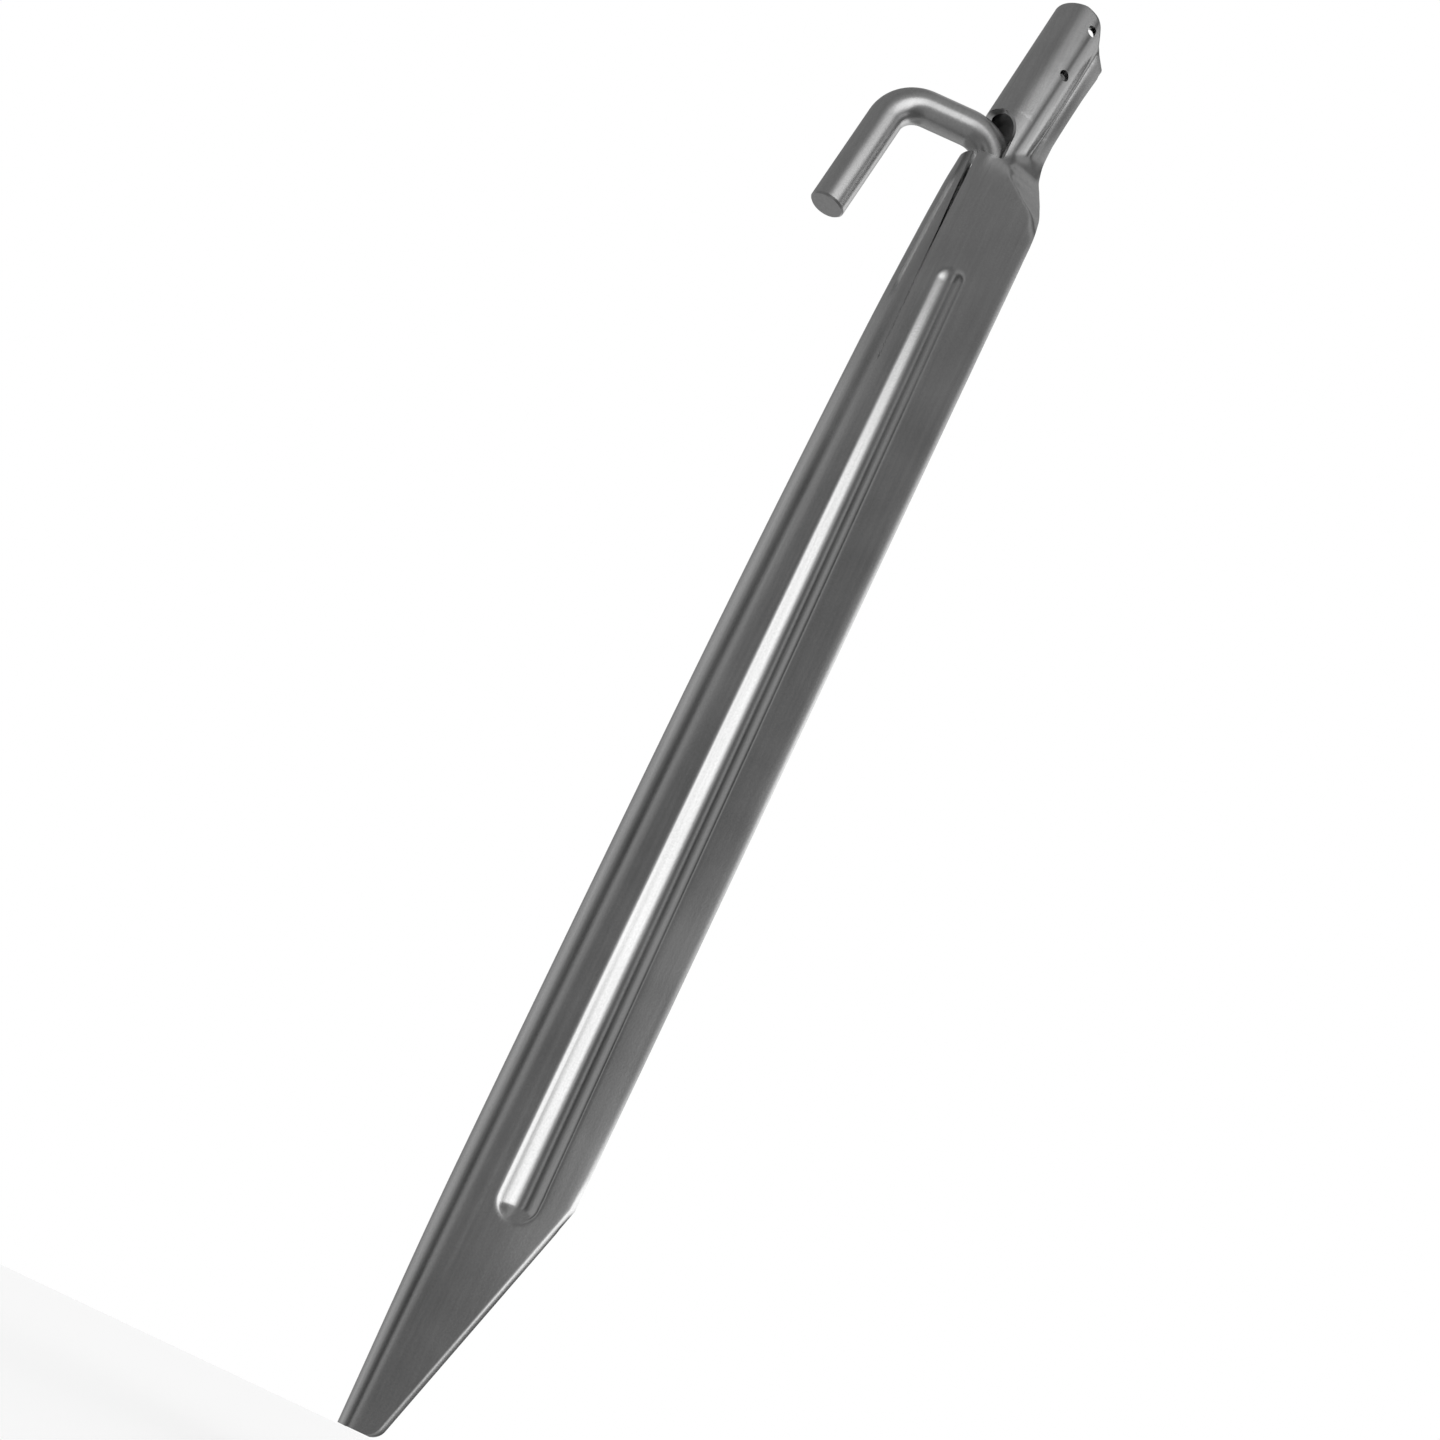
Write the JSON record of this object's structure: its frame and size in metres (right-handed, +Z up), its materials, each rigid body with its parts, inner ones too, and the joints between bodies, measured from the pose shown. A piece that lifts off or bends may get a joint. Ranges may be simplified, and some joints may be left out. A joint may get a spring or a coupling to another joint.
{
  "type": "tent stake",
  "caption": "Pressed sheet-steel channel stake with a tapered tip, tubular head and a loose U-shaped rod hook for the guy line.",
  "frame": {"origin": "bottom of the tip, on the plane of symmetry, about level with the front of the spine", "axes": "+Z up along the stake from tip to head, -X the closed spine and the hook's side, +X the open side of the channel"},
  "size_m": [0.0468, 0.0246, 0.3354],
  "materials": {
    "plated_sheet": "bright zinc plated",
    "plated_rod": "satin zinc plated"
  },
  "bodies": {
    "stake": {"stake_body": "plated_sheet"},
    "hook": {"hook": "plated_rod"}
  },
  "joints": [
    {"name": "hook_swivel", "type": "hinge", "parent": "stake", "child": "hook", "pos_m": [0.0115, 0, 0.2986], "axis": [0.0872, 0, 0.9962], "range_deg": [-35, 35]}
  ]
}
